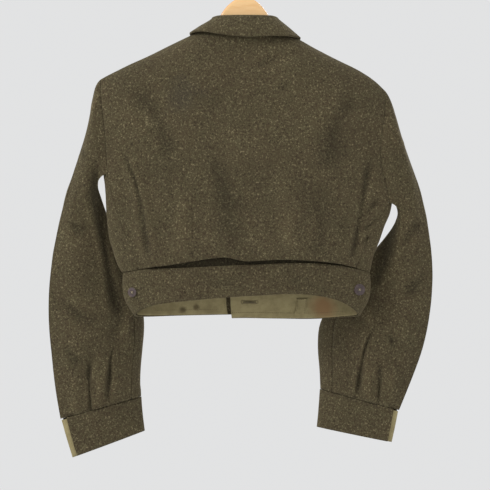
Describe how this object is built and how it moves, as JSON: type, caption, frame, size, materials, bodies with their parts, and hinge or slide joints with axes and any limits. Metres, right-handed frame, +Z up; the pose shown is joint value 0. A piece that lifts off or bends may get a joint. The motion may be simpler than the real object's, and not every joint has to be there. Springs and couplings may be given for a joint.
{
  "type": "wool military jacket on a wooden hanger",
  "caption": "Short wool military jacket with a fall collar, set-in sleeves, deep cuffs and a buttoned waistband, hung on a plain wooden hanger.",
  "frame": {"origin": "inner top of the hanger's hook, where it rests on a rail", "axes": "+Z up, the jacket's front faces -Y and its back +Y, the wearer's left is +X"},
  "size_m": [0.641, 0.151, 0.8283],
  "materials": {
    "wool_serge": "heathered wool twill, matt with a short nap",
    "khaki_drill": "plain cotton drill, matt",
    "button_plastic": "purple-brown, slightly worn",
    "hanger_wood": "blond wood, clear varnish",
    "hook_steel": "plain bright wire"
  },
  "bodies": {
    "root": {"back_panel": "wool_serge", "front_left": "wool_serge", "front_right": "wool_serge", "sleeve_left_back": "wool_serge", "sleeve_left_front": "wool_serge", "sleeve_right_back": "wool_serge", "sleeve_right_front": "wool_serge", "cuff_left": "wool_serge", "cuff_right": "wool_serge", "cuff_facing_left": "khaki_drill", "cuff_facing_right": "khaki_drill", "collar": "wool_serge", "band_back": "wool_serge", "band_front_left": "wool_serge", "band_front_right": "wool_serge", "band_facing_left": "khaki_drill", "band_facing_right": "khaki_drill", "back_inner_strip": "wool_serge", "band_strap": "khaki_drill", "band_button_left": "button_plastic", "band_button_right": "button_plastic", "cuff_button_left": "button_plastic", "cuff_button_right": "button_plastic", "hanger_body": "hanger_wood", "hanger_hook": "hook_steel"}
  },
  "joints": []
}
